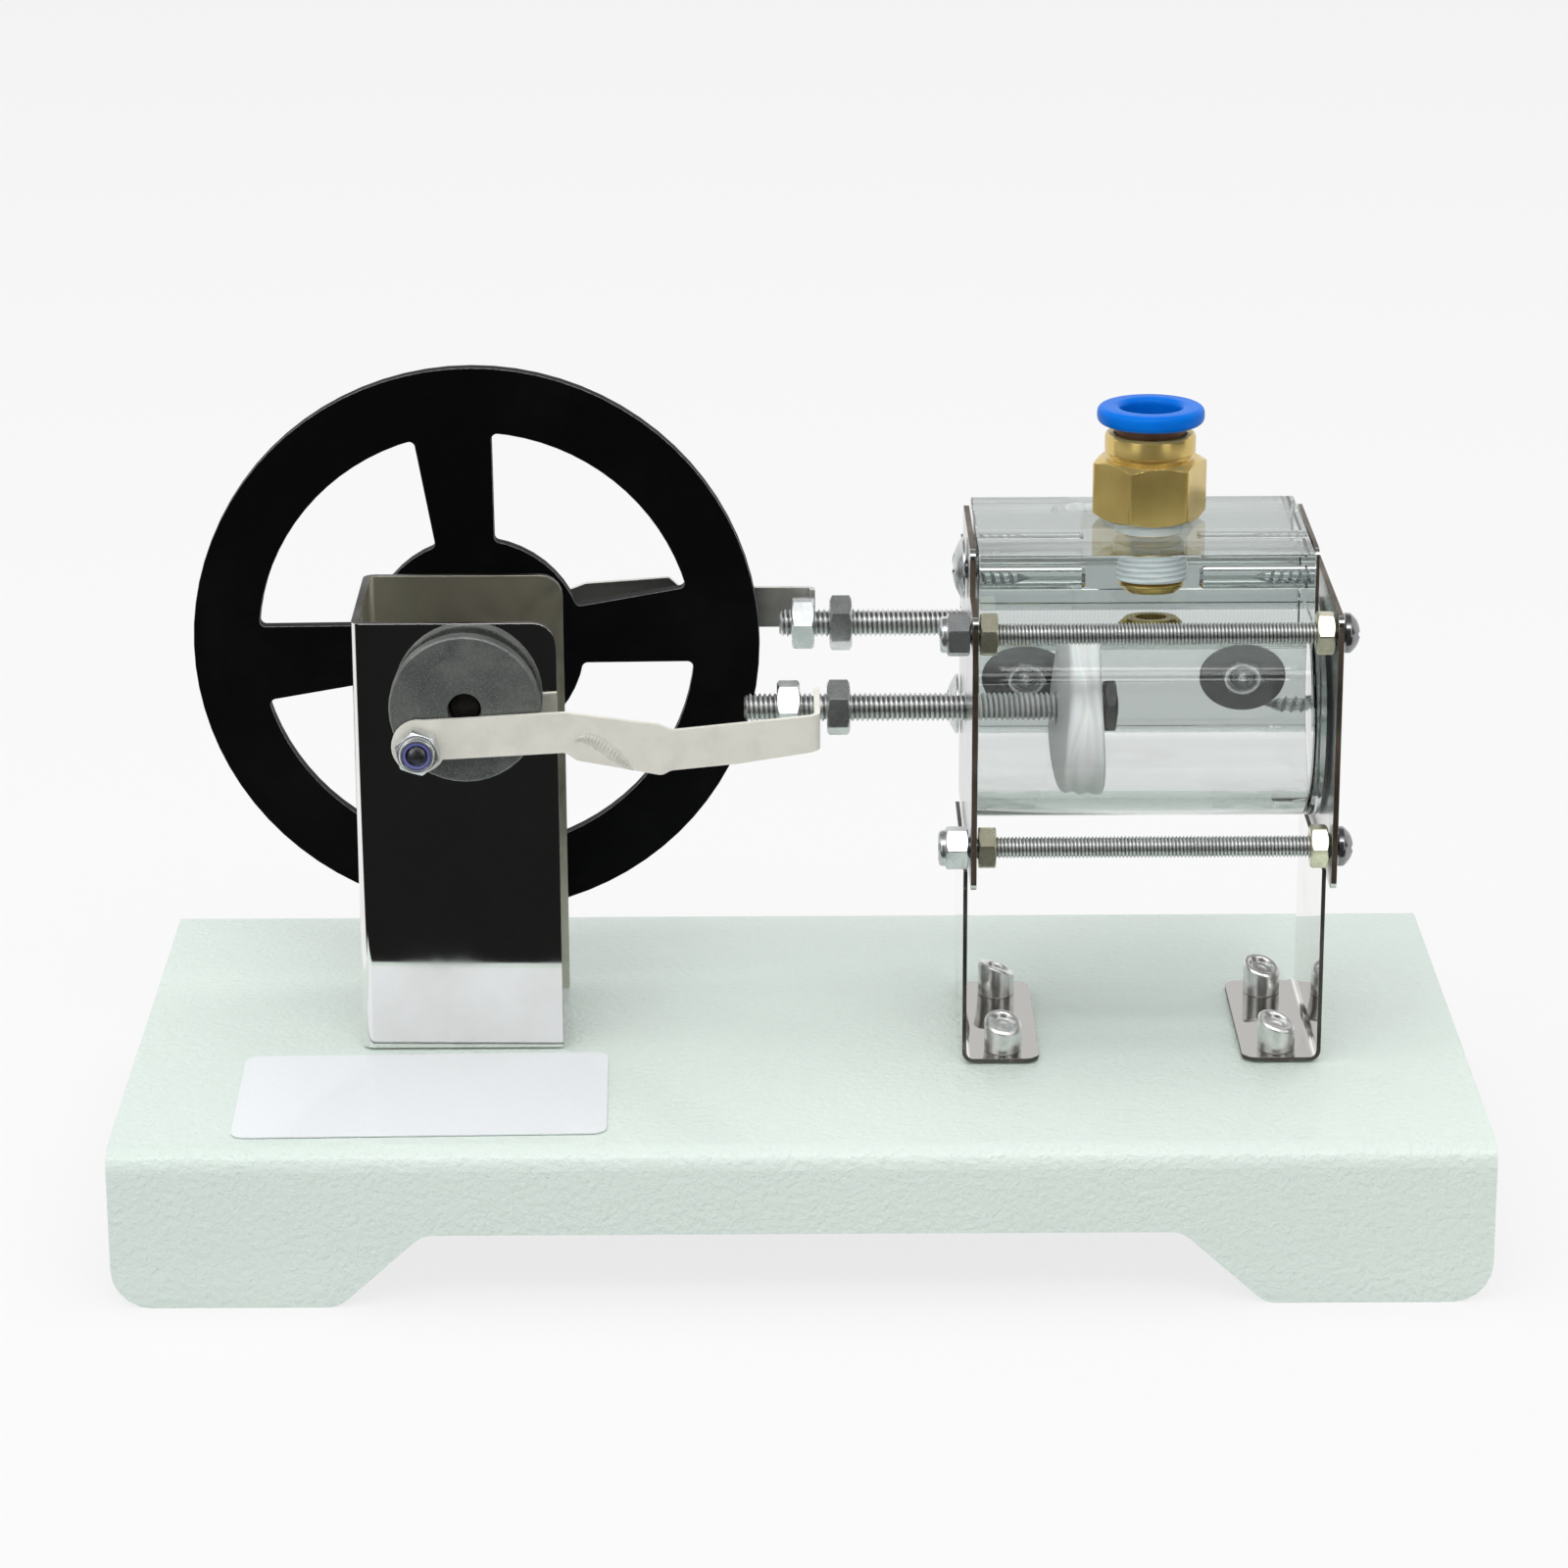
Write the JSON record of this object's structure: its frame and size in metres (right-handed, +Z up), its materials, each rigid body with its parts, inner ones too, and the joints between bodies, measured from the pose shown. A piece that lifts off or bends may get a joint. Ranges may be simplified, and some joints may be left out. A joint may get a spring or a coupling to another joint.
{
  "type": "steam engine model",
  "caption": "Classroom steam engine model: clear cylinder and piston, slide valve, crank, spoked flywheel and push-in air fitting on a folded sheet base.",
  "frame": {"origin": "centre of the base on the table", "axes": "+X along the base towards the cylinder, +Y to the back where the flywheel is, +Z up"},
  "size_m": [0.186, 0.095, 0.1141],
  "materials": {
    "powder_coat": "pale grey-green powder coat with a fine texture",
    "label": "blank white film",
    "polished_steel": "mirror-polished sheet",
    "cut_sheet": "bright sheet with brown cut edges",
    "crank_steel": "mottled dark steel",
    "black_steel": "satin black with bright edges",
    "satin_nickel": "warm satin nickel",
    "zinc": "bright zinc plate",
    "yellow_zinc": "yellowish zinc plate",
    "bronze": "plain bronze",
    "brass": "machined brass",
    "aluminium": "plain aluminium",
    "clear_acrylic": "clear acrylic",
    "white_plastic": "white plastic",
    "black_rubber": "black rubber",
    "blue_plastic": "blue plastic"
  },
  "bodies": {
    "stand": {"base_channel": "powder_coat", "blank_label": "label", "shaft_bracket": "polished_steel", "bracket_rivet_front": "aluminium", "bracket_rivet_back": "aluminium", "front_bush": "bronze", "rear_bush": "bronze", "cylinder_tube": "clear_acrylic", "cylinder_end_cap": "clear_acrylic", "port_seal_left": "black_rubber", "port_seal_right": "black_rubber", "inlet_block": "clear_acrylic", "inlet_block_cover": "cut_sheet", "valve_block": "clear_acrylic", "left_end_plate": "cut_sheet", "right_end_plate": "cut_sheet", "left_leg": "polished_steel", "right_leg": "polished_steel", "upper_tie_rod": "zinc", "lower_tie_rod": "zinc", "upper_tie_rod_lock_nut": "zinc", "lower_tie_rod_lock_nut": "zinc", "upper_tie_rod_left_nut": "yellow_zinc", "upper_tie_rod_right_nut": "yellow_zinc", "lower_tie_rod_left_nut": "yellow_zinc", "lower_tie_rod_right_nut": "yellow_zinc", "inlet_block_screw_left": "zinc", "inlet_block_screw_right": "zinc", "valve_block_screw_left": "zinc", "valve_block_screw_right": "zinc", "left_foot_rivet_front": "aluminium", "left_foot_rivet_back": "aluminium", "right_foot_rivet_front": "aluminium", "right_foot_rivet_back": "aluminium", "fitting_body": "brass"},
    "crank": {"crank_shaft": "zinc", "crank_disc": "crank_steel", "crank_pin": "zinc", "crank_pin_nut": "zinc", "flywheel": "black_steel", "flywheel_nut": "zinc", "valve_crank_pin": "zinc", "valve_pin_nut": "zinc"},
    "connecting_rod": {"connecting_rod": "satin_nickel"},
    "valve_link": {"valve_link": "satin_nickel"},
    "piston": {"piston_rod": "zinc", "piston_rod_nut_outer": "zinc", "piston_rod_nut_inner": "zinc", "piston": "white_plastic", "piston_nut": "crank_steel"},
    "valve": {"valve_rod": "zinc", "valve_rod_nut_outer": "zinc", "valve_rod_nut_inner": "zinc", "valve_spool": "brass"},
    "release_ring": {"release_ring": "blue_plastic"}
  },
  "joints": [
    {"name": "crank_spin", "type": "hinge", "parent": "stand", "child": "crank", "pos_m": [-0.0457, 0.0025, 0.0738], "axis": [0, 1, 0], "continuous": true},
    {"name": "connecting_rod_pivot", "type": "hinge", "parent": "crank", "child": "connecting_rod", "pos_m": [-0.052, -0.0144, 0.06888], "axis": [0, 1, 0], "continuous": true},
    {"name": "valve_link_pivot", "type": "hinge", "parent": "crank", "child": "valve_link", "pos_m": [-0.05001, 0.0274, 0.07932], "axis": [0, 1, 0], "continuous": true},
    {"name": "piston_slide", "type": "slide", "parent": "stand", "child": "piston", "axis": [1, 0, 0], "range_m": [-0.0017, 0.0143]},
    {"name": "valve_slide", "type": "slide", "parent": "stand", "child": "valve", "axis": [1, 0, 0], "range_m": [-0.0027, 0.0113]},
    {"name": "release_ring_press", "type": "slide", "parent": "stand", "child": "release_ring", "axis": [0, 0, -1], "range_m": [0, 0.001], "stiffness_N_per_m": 400, "springref_m": -0.0005}
  ],
  "couplings": [
    {"joint": "connecting_rod_pivot", "follows": "crank_spin", "ratio": -1},
    {"joint": "valve_link_pivot", "follows": "crank_spin", "ratio": -1}
  ]
}
